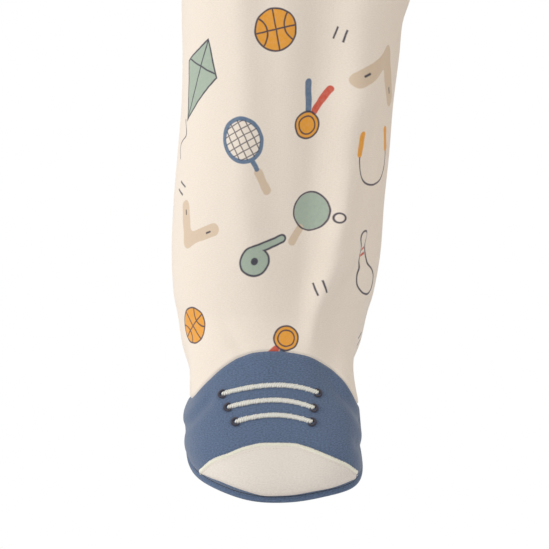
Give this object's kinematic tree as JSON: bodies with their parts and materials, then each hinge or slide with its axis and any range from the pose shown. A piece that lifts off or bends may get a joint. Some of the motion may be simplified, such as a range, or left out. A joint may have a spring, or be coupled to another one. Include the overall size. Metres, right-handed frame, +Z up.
{
  "type": "footed baby sleepsuit",
  "caption": "Long-sleeved footed baby sleepsuit, filled out as when worn, with a press-stud front, rib neckband and cuffs, and feet shaped like laced shoes.",
  "frame": {"origin": "midway between the two points where neckband and shoulder seam meet, where the wearer's shoulders hold the suit", "axes": "+Z up, -Y the wearer's front, +X the wearer's left"},
  "size_m": [0.4562, 0.1372, 0.5862],
  "materials": {
    "cream_jersey": "soft brushed cotton interlock",
    "cream_rib": "cotton rib knit",
    "blue_jersey": "soft cotton jersey",
    "lace_thread": "satin-stitch embroidery thread",
    "eyelet_thread": "dark embroidery thread",
    "press_stud": "satin enamel on pressed metal"
  },
  "bodies": {
    "root": {"front_right": "cream_jersey", "back_right": "cream_jersey", "sleeve_right": "cream_jersey", "cuff_right": "cream_rib", "vamp_right": "blue_jersey", "toe_cap_right": "cream_jersey", "sole_right": "blue_jersey", "lace_1_right": "lace_thread", "eyelet_1_inner_right": "eyelet_thread", "eyelet_1_outer_right": "eyelet_thread", "lace_2_right": "lace_thread", "eyelet_2_inner_right": "eyelet_thread", "eyelet_2_outer_right": "eyelet_thread", "lace_3_right": "lace_thread", "eyelet_3_inner_right": "eyelet_thread", "eyelet_3_outer_right": "eyelet_thread", "front_left": "cream_jersey", "back_left": "cream_jersey", "sleeve_left": "cream_jersey", "cuff_left": "cream_rib", "vamp_left": "blue_jersey", "toe_cap_left": "cream_jersey", "sole_left": "blue_jersey", "lace_1_left": "lace_thread", "eyelet_1_inner_left": "eyelet_thread", "eyelet_1_outer_left": "eyelet_thread", "lace_2_left": "lace_thread", "eyelet_2_inner_left": "eyelet_thread", "eyelet_2_outer_left": "eyelet_thread", "lace_3_left": "lace_thread", "eyelet_3_inner_left": "eyelet_thread", "eyelet_3_outer_left": "eyelet_thread", "neckband": "cream_rib", "front_band": "cream_jersey", "press_stud_1": "press_stud", "press_stud_2": "press_stud", "press_stud_3": "press_stud", "press_stud_4": "press_stud", "press_stud_5": "press_stud", "press_stud_6": "press_stud", "press_stud_7": "press_stud"}
  },
  "joints": []
}
